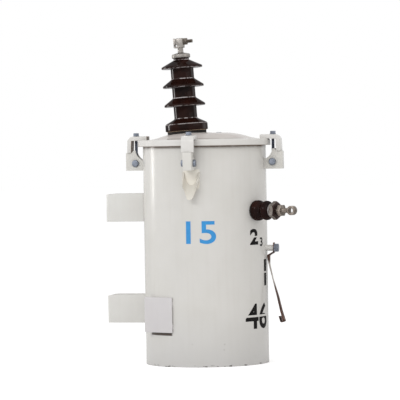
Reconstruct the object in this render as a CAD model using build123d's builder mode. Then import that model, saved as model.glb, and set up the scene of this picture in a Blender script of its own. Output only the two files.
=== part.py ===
"""Single phase pole mounted transformer: tank, clamped cover, bushings, hangers and earth strap.

Millimetres, +Z up. The origin is on the tank's axis, level with the foot of the tank.
The pole side is -X, the low voltage side is +X and the two lifting lugs are on -Y and +Y.
"""

import os
from math import cos, radians, sin

from build123d import *

# Overrun of every cutting shape past what it cuts
overrun = 20

# Tank: a rolled shell with a ring welded round its mouth, on a recessed bottom plate
tank_radius = 173.5
tank_wall = 3.5
tank_height = 619
tank_foot_chamfer = 1.5
lip_reach = 7.5
lip_thickness = 3.5
bottom_recess = 12
bottom_thickness = 4

# Cover: a pressed sheet with a turned down rim, a flat brim and a low crown, on a gasket
cover_gasket_thickness = 8.3
cover_sheet = 3
cover_reach = 13.5
cover_skirt = 18.3
cover_round = 6
brim_width = 41
crown_radius = 88
crown_rise = 18.5
crown_blend = 14

# Boss pressed in the cover: a flat seat that leans the high voltage bushing towards the pole
hv_offset = 49
hv_lean = 3.7
boss_radius = 58
boss_sink = 2.8
boss_depth = 13
boss_skirt = 48

# High voltage bushing: one porcelain turned about the leaning axis
hv_gasket_radius = 54.5
hv_gasket_thickness = 10
hv_spigot_radius = 27
hv_spigot_length = 45
hv_spigot_gap = 1.5
hv_flange_radius = 60
hv_flange_height = 20
hv_flange_chamfer = 4
hv_body_radius = 32.5
hv_shoulder_rise = 14
hv_shed_count = 3
hv_shed_radius = 58
hv_first_shed = 70.2
hv_shed_pitch = 53.6
hv_shed_height = 22.5
hv_shed_droop = 1.5
hv_shed_tip = 6
hv_tip_chamfer = 2.5
hv_root_chamfer = 4
hv_neck_radius = 22
hv_neck_height = 5.3

# High voltage cap, stem and wire clamp
hv_cap_radius = 26
hv_cap_thickness = 11
hv_cap_cone = 4
hv_cap_chamfer = 2
hv_stem_radius = 8
hv_stem_height = 14
hv_block_width = 21
hv_block_depth = 24
hv_block_height = 27
hv_block_round = 2
hv_keeper_thickness = 6
hv_wire_radius = 4
hv_wire_height = 6.5
hv_notch_radius = 2.5
hv_bolt_height = 17
hv_bolt_radius = 5.2
hv_bolt_reach = 15
hv_nut_flats = 18
hv_nut_thickness = 11

# Cover clamps, one in each quarter
clamp_sheet = 3
clamp_arm_width = 35
clamp_arm_inset = 24
clamp_arm_overhang = 34
clamp_arm_rise = 11.7
clamp_arm_bend = 13
clamp_arm_armpit = 6
clamp_leg_depth = 12
clamp_leg_drop = 35.3
bracket_sheet = 3.5
bracket_width = 24.5
bracket_reach = 52.1
bracket_drop = 50
bracket_peak_rise = 7
bracket_peak_standoff = 23.5
bracket_peak_width = 6
bracket_shelf = 15.6
bracket_root_drop = 23
bracket_hollow_sag = 7
clamp_bolt_standoff = 24
clamp_bolt_radius = 4.5
clamp_bolt_gap = 0.5
clamp_bolt_flats = 14
clamp_head_height = 7.5
clamp_washer_radius = 9
clamp_washer_thickness = 1.5
clamp_bolt_tail = 13
clamp_pin_drop = 30
clamp_pin_radius = 7.5
clamp_pin_head_radius = 10
clamp_pin_head = 7
clamp_pin_chamfer = 2

# Lifting lugs: a half pipe, hollow side out, that leans out from its weld to a rounded tip
lug_bore_radius = 18.7
lug_wall = 6.5
lug_lean = 33.7
lug_crotch_drop = 114
lug_rise = 41
lug_top_width = 50.6
lug_waist_width = 35.2
lug_waist_drop = 11
lug_tip_width = 19
lug_tip_drop = 33
lug_tip_length = 41.5
lug_run = 75

# Hangers that bolt to the pole: folded channels with a slot in the web
hanger_sheet = 6
hanger_width = 76
hanger_tall = 79
hanger_standoff = 106.5
hanger_bend = 9
hanger_low_share = 0.2504
hanger_spacing_share = 0.46204
hanger_slot_width = 18
hanger_slot_length = 36
hanger_cut_run = 12
hanger_cut_drop = 2

# Bracket that carries the rating plate, low on the tank between pole side and front
plate_angle = 244.6
plate_sheet = 2.5
plate_width = 97.6
plate_tall = 98
plate_height_share = 0.23263
plate_standoff = 2.4
plate_shift = 33.7
plate_corner = 3
plate_lip = 7
plate_tab_reach = 30
plate_tab_tall = 14
plate_tab_inset = 10

# Low voltage bushings, level with each other
lv_height_share = 0.69467
lv_front_angle = -24.2
lv_back_angle = 65.8
lv_gasket_radius = 26.5
lv_gasket_thickness = 3
lv_base_radius = 28.5
lv_base_length = 15.5
lv_groove_radius = 19
lv_groove_length = 16
lv_shed_radius = 27
lv_shed_length = 11.5
lv_nose_radius = 17
lv_nose_length = 8
lv_porcelain_chamfer = 4
lv_washer_radius = 19.5
lv_washer_thickness = 8
lv_nut_flats = 45
lv_nut_thickness = 13
lv_nut_turn = 30
lv_shank_radius = 11
lv_shank_length = 7
lv_collar_flats = 30
lv_collar_length = 12
lv_neck_radius = 7
lv_neck_length = 17
lv_eye_radius = 13
lv_eye_hole_radius = 7.5
lv_eye_thickness = 15

# Earth terminal: a boss on the tank, a hex bolt and a hanging strap
earth_height_share = 0.5218
earth_boss_radius = 8.5
earth_boss_length = 21
earth_bolt_radius = 5
earth_bolt_depth = 14
earth_head_flats = 22
earth_head_thickness = 12
strap_sheet = 2
strap_width = 20
strap_bend = 5
strap_fold_bend = 2.2
strap_length = 206
strap_sway = 17.5
strap_reach_shares = (0, 0, -0.9, -0.78, -0.22, 0.52, 1.08, 1.55, 1.2, 0.9)
strap_drop_shares = (-0.072, 0.055, 0.1, 0.22, 0.43, 0.66, 0.87, 1, 1.01, 0.93)

# Heights and radii that follow from the sizes above
brim_top = tank_height + cover_gasket_thickness + cover_sheet
rim_radius = tank_radius + cover_reach
rim_foot = brim_top - cover_skirt
brim_radius = rim_radius - brim_width
crown_top = brim_top + crown_rise
arm_top = brim_top + clamp_arm_rise
clamp_foot = brim_top - clamp_leg_drop
bracket_foot = clamp_foot - bracket_drop
clamp_pin_height = clamp_foot - clamp_pin_drop
clamp_arm_inner = rim_radius - clamp_arm_inset
clamp_arm_outer = rim_radius + clamp_arm_overhang
bracket_outer = tank_radius + bracket_reach
bracket_shelf_inner = bracket_outer - bracket_shelf
bracket_peak_inner = tank_radius + bracket_peak_standoff
bracket_peak_outer = bracket_peak_inner + bracket_peak_width
clamp_bolt_reach = tank_radius + clamp_bolt_standoff
lug_crotch = tank_height - lug_crotch_drop
lug_top = lug_crotch + lug_rise
hanger_reach = tank_radius + hanger_standoff
hanger_low = tank_height * hanger_low_share
hanger_high = hanger_low + tank_height * hanger_spacing_share
plate_height = tank_height * plate_height_share
lv_height = tank_height * lv_height_share
earth_height = tank_height * earth_height_share

os.makedirs("parts", exist_ok=True)


def keep(piece, name):
    """Label a finished piece and write it under its own name."""
    piece.part.label = name
    export_step(piece.part, f"parts/{name}.step")


def outward(angle):
    """Level unit vector that points away from the tank's axis."""
    return Vector(cos(radians(angle)), sin(radians(angle)), 0)


def section_plane(angle):
    """Upright plane through the tank's axis: local x points outward and local y points up."""
    return Plane((0, 0, 0), x_dir=outward(angle), z_dir=outward(angle).cross(Vector(0, 0, 1)))


def facing_plane(angle, reach):
    """Upright plane square to a direction and facing outward: local y points up."""
    out = outward(angle)
    return Plane(out * reach, x_dir=Vector(0, 0, 1).cross(out), z_dir=out)


def level_plane(angle, reach, height):
    """Level plane at a distance from the axis: local x points outward."""
    out = outward(angle)
    return Plane(out * reach + Vector(0, 0, height), x_dir=out, z_dir=(0, 0, 1))


def clear_of_tank():
    """Trim the part in hand so that it ends on the tank's outer face."""
    Cylinder(tank_radius, tank_height, align=(Align.CENTER, Align.CENTER, Align.MIN), mode=Mode.SUBTRACT)


def hexagon(flats, turn=0):
    """Hexagon by its width across flats, turned by an angle."""
    RegularPolygon(flats / 2, 6, major_radius=False, rotation=turn)


# Tank shell, softened at the foot
with BuildPart() as tank_shell:
    with BuildSketch(Plane.XY):
        Circle(tank_radius)
        Circle(tank_radius - tank_wall, mode=Mode.SUBTRACT)
    extrude(amount=tank_height)
    chamfer(edges().group_by(Axis.Z)[0].sort_by(SortBy.RADIUS)[-1], tank_foot_chamfer)
keep(tank_shell, "tank_shell")

# Lip round the mouth of the shell, which the cover is drawn down on
with BuildPart() as tank_lip:
    with BuildSketch(Plane.XY.offset(tank_height - lip_thickness)):
        Circle(tank_radius + lip_reach)
        Circle(tank_radius, mode=Mode.SUBTRACT)
    extrude(amount=lip_thickness)
keep(tank_lip, "tank_lip")

# Bottom plate inside the foot of the shell
with BuildPart() as tank_bottom:
    with BuildSketch(Plane.XY.offset(bottom_recess)):
        Circle(tank_radius - tank_wall)
    extrude(amount=bottom_thickness)
keep(tank_bottom, "tank_bottom")

# Gasket between the lip and the cover
with BuildPart() as cover_gasket:
    with BuildSketch(Plane.XY.offset(tank_height)):
        Circle(tank_radius + lip_reach)
        Circle(tank_radius - tank_wall, mode=Mode.SUBTRACT)
    extrude(amount=cover_gasket_thickness)
keep(cover_gasket, "cover_gasket")

# Plane of the boss: its normal is the leaning axis of the high voltage bushing
lean = radians(hv_lean)
hv_plane = Plane(
    (-hv_offset, 0, crown_top - boss_sink),
    x_dir=(cos(lean), 0, sin(lean)),
    z_dir=(-sin(lean), 0, cos(lean)),
)
hv_section = Plane(hv_plane.origin, x_dir=hv_plane.x_dir, z_dir=-hv_plane.y_dir)
hv_axis = Axis(hv_plane.origin, hv_plane.z_dir)

# Cover with its boss, the flat seat on it and the opening for the bushing's spigot
with BuildPart() as tank_cover:
    with BuildSketch(Plane.XZ):
        with BuildLine():
            Polyline(
                (rim_radius - cover_sheet, rim_foot),
                (rim_radius, rim_foot),
                (rim_radius, brim_top),
                (brim_radius, brim_top),
                (crown_radius, crown_top),
                (0, crown_top),
                (0, crown_top - cover_sheet),
                (crown_radius, crown_top - cover_sheet),
                (brim_radius, brim_top - cover_sheet),
                (rim_radius - cover_sheet, brim_top - cover_sheet),
                close=True,
            )
        make_face()
        slopes = vertices().filter_by_position(Axis.X, crown_radius - cover_sheet, brim_radius + cover_sheet)
        chamfer(slopes, crown_blend)
        fillet(vertices().group_by(Axis.X)[-1].sort_by(Axis.Y)[-1], cover_round)
    revolve(axis=Axis.Z)
    with BuildSketch(hv_section):
        Polygon(
            (0, 0),
            (boss_radius, 0),
            (boss_radius + boss_skirt, -boss_depth),
            (0, -boss_depth),
            align=None,
        )
    revolve(axis=hv_axis)
    with BuildSketch(hv_plane):
        Circle(boss_radius)
    extrude(amount=overrun, mode=Mode.SUBTRACT)
    with BuildSketch(hv_plane):
        Circle(hv_spigot_radius + hv_spigot_gap)
    extrude(amount=-overrun, mode=Mode.SUBTRACT)
keep(tank_cover, "tank_cover")

# Gasket under the high voltage bushing
with BuildPart() as hv_gasket:
    with BuildSketch(hv_plane):
        Circle(hv_gasket_radius)
        Circle(hv_spigot_radius + hv_spigot_gap, mode=Mode.SUBTRACT)
    extrude(amount=hv_gasket_thickness)
keep(hv_gasket, "hv_gasket")

# High voltage porcelain: spigot, flange, shoulder and drooping sheds in one turned outline
hv_seat = hv_gasket_thickness
hv_shoulder_top = hv_seat + hv_flange_height + hv_shoulder_rise
hv_outline = [
    (0, hv_seat - hv_spigot_length),
    (hv_spigot_radius, hv_seat - hv_spigot_length),
    (hv_spigot_radius, hv_seat),
    (hv_flange_radius, hv_seat),
    (hv_flange_radius, hv_seat + hv_flange_height),
    (hv_body_radius, hv_shoulder_top),
]
for shed in range(hv_shed_count):
    shed_foot = hv_seat + hv_first_shed + shed * hv_shed_pitch
    tip_foot = shed_foot - hv_shed_droop
    hv_outline += [
        (hv_body_radius, shed_foot),
        (hv_shed_radius, tip_foot),
        (hv_shed_radius, tip_foot + hv_shed_tip),
        (hv_body_radius, shed_foot + hv_shed_height),
    ]
neck_foot = hv_outline.pop()[1]
hv_top = neck_foot + hv_neck_height
hv_outline += [
    (hv_neck_radius, neck_foot),
    (hv_neck_radius, hv_top),
    (0, hv_top),
]
with BuildPart() as hv_bushing:
    with BuildSketch(hv_section):
        with BuildLine():
            Polyline(*hv_outline, close=True)
        make_face()
        turned = vertices()
        tips = turned.filter_by(lambda corner: abs(corner.X - hv_shed_radius) < hv_tip_chamfer / 4)
        roots = turned.filter_by(lambda corner: abs(corner.X - hv_body_radius) < hv_tip_chamfer / 4)
        rim = turned.group_by(Axis.X)[-1].sort_by(Axis.Y)[-1]
        chamfer(tips, hv_tip_chamfer)
        chamfer(roots, hv_root_chamfer)
        chamfer(rim, hv_flange_chamfer)
    revolve(axis=hv_axis)
keep(hv_bushing, "hv_bushing")

# Metal cap and stem on the porcelain's neck
hv_stem_foot = hv_top + hv_cap_thickness + hv_cap_cone
hv_stem_top = hv_stem_foot + hv_stem_height
with BuildPart() as hv_cap:
    with BuildSketch(hv_section):
        with BuildLine():
            Polyline(
                (0, hv_top),
                (hv_cap_radius, hv_top),
                (hv_cap_radius, hv_top + hv_cap_thickness),
                (hv_stem_radius, hv_stem_foot),
                (hv_stem_radius, hv_stem_top),
                (0, hv_stem_top),
                close=True,
            )
        make_face()
        chamfer(vertices().group_by(Axis.X)[-1], hv_cap_chamfer)
    revolve(axis=hv_axis)
keep(hv_cap, "hv_cap")

# Wire clamp on the stem: block, keeper and the bolt that draws them together
block_plane = hv_plane.offset(hv_stem_top)
joint_x = -hv_block_width / 2
bolt_plane = Plane(
    block_plane.from_local_coords((0, 0, hv_bolt_height)), x_dir=hv_plane.y_dir, z_dir=hv_plane.x_dir
)


with BuildSketch(hv_section) as wire_grooves:
    with Locations((joint_x, hv_stem_top + hv_wire_height)):
        Circle(hv_wire_radius)
    with Locations((joint_x, hv_stem_top + hv_block_height)):
        Circle(hv_notch_radius)

with BuildSketch(bolt_plane) as bolt_passage:
    Circle(hv_bolt_radius)

with BuildPart() as hv_terminal:
    with BuildSketch(block_plane):
        Rectangle(hv_block_width, hv_block_depth)
    extrude(amount=hv_block_height)
    fillet(edges().group_by(hv_axis)[-1], hv_block_round)
    extrude(wire_grooves.sketch, amount=hv_block_depth, both=True, mode=Mode.SUBTRACT)
    extrude(bolt_passage.sketch, amount=hv_block_width, both=True, mode=Mode.SUBTRACT)
keep(hv_terminal, "hv_terminal")

with BuildPart() as hv_keeper:
    with BuildSketch(block_plane):
        with Locations((joint_x, 0)):
            Rectangle(hv_keeper_thickness, hv_block_depth, align=(Align.MAX, Align.CENTER))
    extrude(amount=hv_block_height)
    extrude(wire_grooves.sketch, amount=hv_block_depth, both=True, mode=Mode.SUBTRACT)
    extrude(bolt_passage.sketch, amount=hv_block_width, both=True, mode=Mode.SUBTRACT)
keep(hv_keeper, "hv_keeper")

with BuildPart() as hv_bolt:
    nut_seat = hv_block_width / 2
    bolt_foot = joint_x - hv_keeper_thickness
    with BuildSketch(bolt_plane.offset(bolt_foot)):
        Circle(hv_bolt_radius)
    extrude(amount=nut_seat - bolt_foot + hv_nut_thickness + hv_bolt_reach)
    with BuildSketch(bolt_plane.offset(nut_seat)):
        hexagon(hv_nut_flats)
    extrude(amount=hv_nut_thickness)
keep(hv_bolt, "hv_terminal_bolt")

# Cover clamps: arm, bracket, cross pin and draw bolt in each quarter
clamp_angles = {"right": 0, "back": 90, "left": 180, "front": 270}
for side, angle in clamp_angles.items():
    section = section_plane(angle)
    pin_spot = section.from_local_coords((clamp_bolt_reach, clamp_pin_height, 0))
    pin_plane = Plane(pin_spot, x_dir=section.x_dir, z_dir=section.z_dir)

    with BuildPart() as clamp_arm:
        with BuildSketch(section):
            with BuildLine():
                Polyline(
                    (clamp_arm_inner, brim_top),
                    (clamp_arm_inner, arm_top),
                    (clamp_arm_outer, arm_top),
                    (clamp_arm_outer, clamp_foot),
                    (clamp_arm_outer - clamp_leg_depth, clamp_foot),
                    (clamp_arm_outer - clamp_leg_depth, brim_top),
                    close=True,
                )
            make_face()
            knee = vertices().group_by(Axis.X)[-1].sort_by(Axis.Y)[-1]
            armpit = vertices().group_by(Axis.X)[1].sort_by(Axis.Y)[-1]
            fillet(knee, clamp_arm_bend)
            fillet(armpit, clamp_arm_armpit)
        extrude(amount=clamp_arm_width / 2, both=True)
        with BuildSketch(section):
            with BuildLine():
                Polyline(
                    (clamp_arm_inner - overrun, arm_top - clamp_sheet),
                    (clamp_arm_outer - clamp_sheet, arm_top - clamp_sheet),
                    (clamp_arm_outer - clamp_sheet, clamp_foot - overrun),
                    (clamp_arm_inner - overrun, clamp_foot - overrun),
                    close=True,
                )
            make_face()
            hollow_knee = vertices().group_by(Axis.X)[-1].sort_by(Axis.Y)[-1]
            fillet(hollow_knee, clamp_arm_bend - clamp_sheet)
        extrude(amount=clamp_arm_width / 2 - clamp_sheet, both=True, mode=Mode.SUBTRACT)
        with BuildSketch(level_plane(angle, clamp_bolt_reach, arm_top)):
            Circle(clamp_bolt_radius + clamp_bolt_gap)
        extrude(amount=-overrun, mode=Mode.SUBTRACT)
    keep(clamp_arm, f"clamp_arm_{side}")

    with BuildPart() as clamp_bracket:
        root = (tank_radius - tank_wall, clamp_foot - bracket_root_drop)
        peak = (bracket_peak_inner, clamp_foot + bracket_peak_rise)
        with BuildSketch(section):
            with BuildLine():
                Polyline(
                    root,
                    (tank_radius - tank_wall, bracket_foot),
                    (bracket_outer, bracket_foot),
                    (bracket_outer, clamp_foot),
                    (bracket_shelf_inner, clamp_foot),
                    (bracket_peak_outer, clamp_foot + bracket_peak_rise),
                    peak,
                )
                SagittaArc(peak, root, bracket_hollow_sag)
            make_face()
        extrude(amount=bracket_width / 2, both=True)
        with BuildSketch(section):
            with Locations((bracket_outer - bracket_sheet, bracket_foot - overrun)):
                Rectangle(
                    bracket_outer,
                    bracket_drop + bracket_peak_rise + overrun + overrun,
                    align=(Align.MAX, Align.MIN),
                )
        extrude(amount=bracket_width / 2 - bracket_sheet, both=True, mode=Mode.SUBTRACT)
        with BuildSketch(pin_plane):
            Circle(clamp_pin_radius)
        extrude(amount=bracket_width, both=True, mode=Mode.SUBTRACT)
        clear_of_tank()
    keep(clamp_bracket, f"clamp_bracket_{side}")

    with BuildPart() as clamp_pin:
        with BuildSketch(pin_plane):
            Circle(clamp_pin_radius)
        extrude(amount=bracket_width / 2, both=True)
        for end in (1, -1):
            with BuildSketch(pin_plane.offset(end * bracket_width / 2)):
                Circle(clamp_pin_head_radius)
            extrude(amount=end * clamp_pin_head)
        pin_ends = edges().filter_by(GeomType.CIRCLE).group_by(Axis(pin_spot, section.z_dir))
        chamfer(pin_ends[0] + pin_ends[-1], clamp_pin_chamfer)
        with BuildSketch(level_plane(angle, clamp_bolt_reach, clamp_pin_height)):
            Circle(clamp_bolt_radius)
        extrude(amount=overrun, both=True, mode=Mode.SUBTRACT)
    keep(clamp_pin, f"clamp_pin_{side}")

    with BuildPart() as clamp_bolt:
        with BuildSketch(level_plane(angle, clamp_bolt_reach, arm_top)):
            Circle(clamp_bolt_radius)
        extrude(amount=clamp_pin_height - clamp_bolt_tail - arm_top)
        with BuildSketch(level_plane(angle, clamp_bolt_reach, arm_top)):
            Circle(clamp_washer_radius)
        extrude(amount=clamp_washer_thickness)
        with BuildSketch(level_plane(angle, clamp_bolt_reach, arm_top + clamp_washer_thickness)):
            hexagon(clamp_bolt_flats)
        extrude(amount=clamp_head_height)
    keep(clamp_bolt, f"clamp_bolt_{side}")

# Lifting lugs under the front and back clamps
tilt = radians(lug_lean)
for side in ("front", "back"):
    angle = clamp_angles[side]
    section = section_plane(angle)
    pipe_middle = section.from_local_coords(
        (tank_radius + lug_bore_radius * cos(tilt), lug_crotch + lug_bore_radius * sin(tilt), 0)
    )
    pipe_rise = outward(angle) * -sin(tilt) + Vector(0, 0, cos(tilt))
    pipe_plane = Plane(pipe_middle, x_dir=section.z_dir, z_dir=pipe_rise)
    with BuildPart() as lifting_lug:
        with BuildSketch(pipe_plane):
            Circle(lug_bore_radius + lug_wall)
            Circle(lug_bore_radius, mode=Mode.SUBTRACT)
            Rectangle(
                lug_top_width + overrun,
                lug_top_width,
                align=(Align.CENTER, Align.MIN),
                mode=Mode.SUBTRACT,
            )
        extrude(amount=lug_run, both=True)
        with BuildSketch(facing_plane(angle, 0)):
            with BuildLine():
                ThreePointArc(
                    (lug_top_width / 2, lug_top),
                    (lug_waist_width / 2, lug_crotch - lug_waist_drop),
                    (lug_tip_width / 2, lug_crotch - lug_tip_drop),
                )
                ThreePointArc(
                    (lug_tip_width / 2, lug_crotch - lug_tip_drop),
                    (0, lug_crotch - lug_tip_length),
                    (-lug_tip_width / 2, lug_crotch - lug_tip_drop),
                )
                ThreePointArc(
                    (-lug_tip_width / 2, lug_crotch - lug_tip_drop),
                    (-lug_waist_width / 2, lug_crotch - lug_waist_drop),
                    (-lug_top_width / 2, lug_top),
                )
                Line((-lug_top_width / 2, lug_top), (lug_top_width / 2, lug_top))
            make_face()
        extrude(amount=tank_radius + lug_run, mode=Mode.INTERSECT)
        clear_of_tank()
    keep(lifting_lug, f"lifting_lug_{side}")

# Hangers on the pole side
for name, middle in {"lower_hanger": hanger_low, "upper_hanger": hanger_high}.items():
    hanger_top = middle + hanger_tall / 2
    with BuildPart() as hanger:
        with BuildSketch(Plane.XY.offset(middle - hanger_tall / 2)):
            with Locations((-hanger_reach, 0)):
                Rectangle(hanger_reach, hanger_width, align=(Align.MIN, Align.CENTER))
            fillet(vertices().group_by(Axis.X)[0], hanger_bend)
        extrude(amount=hanger_tall)
        with BuildSketch(Plane.XY.offset(middle - hanger_tall / 2)):
            with Locations((hanger_sheet - hanger_reach, 0)):
                Rectangle(hanger_reach, hanger_width - 2 * hanger_sheet, align=(Align.MIN, Align.CENTER))
            fillet(vertices().group_by(Axis.X)[0], hanger_bend - hanger_sheet)
        extrude(amount=hanger_tall, mode=Mode.SUBTRACT)
        with BuildSketch(Plane.YZ.offset(-hanger_reach)):
            with Locations((0, middle)):
                SlotOverall(hanger_slot_length, hanger_slot_width, rotation=90)
        extrude(amount=hanger_sheet, both=True, mode=Mode.SUBTRACT)
        with BuildSketch(Plane.XZ):
            Polygon(
                (-hanger_reach, hanger_top - hanger_cut_drop),
                (hanger_cut_run - hanger_reach, hanger_top),
                (-hanger_reach, hanger_top),
                align=None,
            )
        extrude(amount=hanger_width, both=True, mode=Mode.SUBTRACT)
        clear_of_tank()
    keep(hanger, name)

# Rating plate bracket: a sheet with folded top and bottom lips and four tabs to the tank
plate_plane = facing_plane(plate_angle, tank_radius + plate_standoff)
lip_offset = (plate_tall - plate_sheet) / 2
tab_across = (plate_width - plate_sheet) / 2
tab_offset = plate_tall / 2 - plate_tab_inset - plate_tab_tall / 2
with BuildPart() as nameplate_bracket:
    with BuildSketch(plate_plane):
        with Locations((-plate_shift, plate_height)):
            RectangleRounded(plate_width, plate_tall, plate_corner)
    extrude(amount=plate_sheet)
    with BuildSketch(plate_plane):
        with Locations((-plate_shift, plate_height - lip_offset), (-plate_shift, plate_height + lip_offset)):
            Rectangle(plate_width - 2 * plate_corner, plate_sheet)
    extrude(amount=-plate_lip)
    with BuildSketch(plate_plane):
        with Locations((-plate_shift, plate_height)):
            with GridLocations(2 * tab_across, 2 * tab_offset, 2, 2):
                Rectangle(plate_sheet, plate_tab_tall)
    extrude(amount=-plate_tab_reach)
    clear_of_tank()
keep(nameplate_bracket, "nameplate_bracket")

# Low voltage bushings: gasket, porcelain, washer, nut and eye terminal on a level axis
for side, angle in {"front": lv_front_angle, "back": lv_back_angle}.items():
    section = section_plane(angle)
    lv_axis = Axis((0, 0, lv_height), outward(angle))
    face = tank_radius + lv_gasket_thickness
    groove_foot = face + lv_base_length
    shed_foot = groove_foot + lv_groove_length
    shed_top = shed_foot + lv_shed_length
    nose = shed_top + lv_nose_length
    nut_foot = nose + lv_washer_thickness
    body_foot = nut_foot + lv_nut_thickness
    collar_foot = body_foot + lv_shank_length
    collar_top = collar_foot + lv_collar_length
    eye_middle = collar_top + lv_neck_length + lv_eye_radius
    axis_plane = Plane((0, 0, lv_height), x_dir=section.z_dir, z_dir=outward(angle))

    with BuildPart() as lv_gasket:
        with BuildSketch(axis_plane.offset(face)):
            Circle(lv_gasket_radius)
        extrude(amount=-(lv_gasket_thickness + overrun))
        clear_of_tank()
    keep(lv_gasket, f"lv_gasket_{side}")

    with BuildPart() as lv_bushing:
        with BuildSketch(section):
            with BuildLine():
                Polyline(
                    (face, lv_height),
                    (face, lv_height + lv_base_radius),
                    (groove_foot, lv_height + lv_base_radius),
                    ((groove_foot + shed_foot) / 2, lv_height + lv_groove_radius),
                    (shed_foot, lv_height + lv_shed_radius),
                    (shed_top, lv_height + lv_shed_radius),
                    (nose, lv_height + lv_nose_radius),
                    (nose, lv_height),
                    close=True,
                )
            make_face()
            waves = vertices().filter_by_position(
                Axis.X, groove_foot - lv_porcelain_chamfer, shed_top + lv_porcelain_chamfer
            )
            chamfer(waves, lv_porcelain_chamfer)
        revolve(axis=lv_axis)
    keep(lv_bushing, f"lv_bushing_{side}")

    with BuildPart() as lv_washer:
        with BuildSketch(axis_plane.offset(nose)):
            Circle(lv_washer_radius)
        extrude(amount=lv_washer_thickness)
    keep(lv_washer, f"lv_washer_{side}")

    with BuildPart() as lv_nut:
        with BuildSketch(axis_plane.offset(nut_foot)):
            hexagon(lv_nut_flats, lv_nut_turn)
        extrude(amount=lv_nut_thickness)
    keep(lv_nut, f"lv_nut_{side}")

    with BuildPart() as lv_terminal:
        with BuildSketch(section):
            with BuildLine():
                Polyline(
                    (body_foot, lv_height),
                    (body_foot, lv_height + lv_shank_radius),
                    (collar_top, lv_height + lv_shank_radius),
                    (collar_top, lv_height + lv_neck_radius),
                    (eye_middle, lv_height + lv_neck_radius),
                    (eye_middle, lv_height),
                    close=True,
                )
            make_face()
        revolve(axis=lv_axis)
        with BuildSketch(axis_plane.offset(collar_foot)):
            hexagon(lv_collar_flats)
        extrude(amount=lv_collar_length)
        with BuildSketch(section):
            with Locations((eye_middle, lv_height)):
                Circle(lv_eye_radius)
        extrude(amount=lv_eye_thickness / 2, both=True)
        with BuildSketch(section):
            with Locations((eye_middle, lv_height)):
                Circle(lv_eye_hole_radius)
        extrude(amount=lv_eye_thickness, both=True, mode=Mode.SUBTRACT)
    keep(lv_terminal, f"lv_terminal_{side}")

# Earth terminal on the low voltage side
earth_plane = Plane((0, 0, earth_height), x_dir=(0, 1, 0), z_dir=(1, 0, 0))
boss_end = tank_radius + earth_boss_length
head_foot = boss_end + strap_sheet
with BuildPart() as earth_boss:
    with BuildSketch(earth_plane.offset(boss_end)):
        Circle(earth_boss_radius)
    extrude(amount=-(earth_boss_length + overrun))
    with BuildSketch(earth_plane.offset(boss_end)):
        Circle(earth_bolt_radius)
    extrude(amount=-earth_bolt_depth, mode=Mode.SUBTRACT)
    clear_of_tank()
keep(earth_boss, "earth_boss")

with BuildPart() as earth_bolt:
    with BuildSketch(earth_plane.offset(head_foot)):
        hexagon(earth_head_flats)
    extrude(amount=earth_head_thickness)
    with BuildSketch(earth_plane.offset(head_foot)):
        Circle(earth_bolt_radius)
    extrude(amount=-(strap_sheet + earth_bolt_depth))
keep(earth_bolt, "earth_bolt")

# Earth strap: a bent copper strip from under the bolt head to its folded lower end
strap_points = [
    (boss_end + reach * strap_sway, earth_height - drop * strap_length)
    for reach, drop in zip(strap_reach_shares, strap_drop_shares)
]
strap_bends = [strap_bend] * (len(strap_points) - 4) + [strap_fold_bend] * 2
with BuildPart() as earth_strap:
    with BuildSketch(Plane.XZ):
        with BuildLine():
            FilletPolyline(*strap_points, radius=strap_bends)
            offset(amount=strap_sheet, side=Side.LEFT)
        make_face()
    extrude(amount=strap_width / 2, both=True)
    with BuildSketch(earth_plane):
        Circle(earth_bolt_radius)
    extrude(amount=head_foot + overrun, mode=Mode.SUBTRACT)
keep(earth_strap, "earth_strap")
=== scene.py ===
# %% [markdown]
# # A pole mounted transformer
# The CAD model gives every piece its size and place. This lesson loads it, sets up the photograph's
# view, and then dresses it piece by piece: painted steel, brown porcelain, zinc and copper.

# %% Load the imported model
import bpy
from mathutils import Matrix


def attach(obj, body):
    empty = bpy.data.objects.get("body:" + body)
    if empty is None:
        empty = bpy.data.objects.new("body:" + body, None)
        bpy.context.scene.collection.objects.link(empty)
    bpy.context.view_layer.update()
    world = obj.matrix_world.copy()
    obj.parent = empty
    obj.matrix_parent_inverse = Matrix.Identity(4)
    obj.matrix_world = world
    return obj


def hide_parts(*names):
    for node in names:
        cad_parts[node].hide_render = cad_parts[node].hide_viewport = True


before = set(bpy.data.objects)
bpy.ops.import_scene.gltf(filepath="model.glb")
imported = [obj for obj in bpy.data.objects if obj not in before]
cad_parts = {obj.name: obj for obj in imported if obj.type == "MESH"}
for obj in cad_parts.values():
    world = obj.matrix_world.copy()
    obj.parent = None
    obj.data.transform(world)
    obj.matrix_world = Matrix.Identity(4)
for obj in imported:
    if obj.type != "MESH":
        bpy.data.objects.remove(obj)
print("the CAD model has", len(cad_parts), "nodes")

# %% [markdown]
# ## Sizes
# Lengths are written in millimetres, as on a drawing, while Blender works in metres.

# %% Millimetres
import math
import random

import bmesh
import bpy
from mathutils import Matrix, Vector

MM = 0.001
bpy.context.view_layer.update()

# %% [markdown]
# ## Camera
# The photograph was taken from a little to the low voltage side, from far off and at the height of the
# cover, so upright lines hardly converge. A long lens at a long distance gives that flat look. The
# object leans a degree in the picture, so the camera is rolled by that much instead of the object.

# %% Camera
camera_turn = math.radians(12.5)
camera_distance = 7.64
camera_height = 0.615
camera_roll = math.radians(-0.95)
aim_height = 0.4594
aim_shift = -0.0147

toward_camera = Vector((math.sin(camera_turn), -math.cos(camera_turn), 0))
camera_right = Vector((math.cos(camera_turn), math.sin(camera_turn), 0))
aim = camera_right * aim_shift + Vector((0, 0, aim_height))
stand = toward_camera * camera_distance + Vector((0, 0, camera_height))

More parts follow.
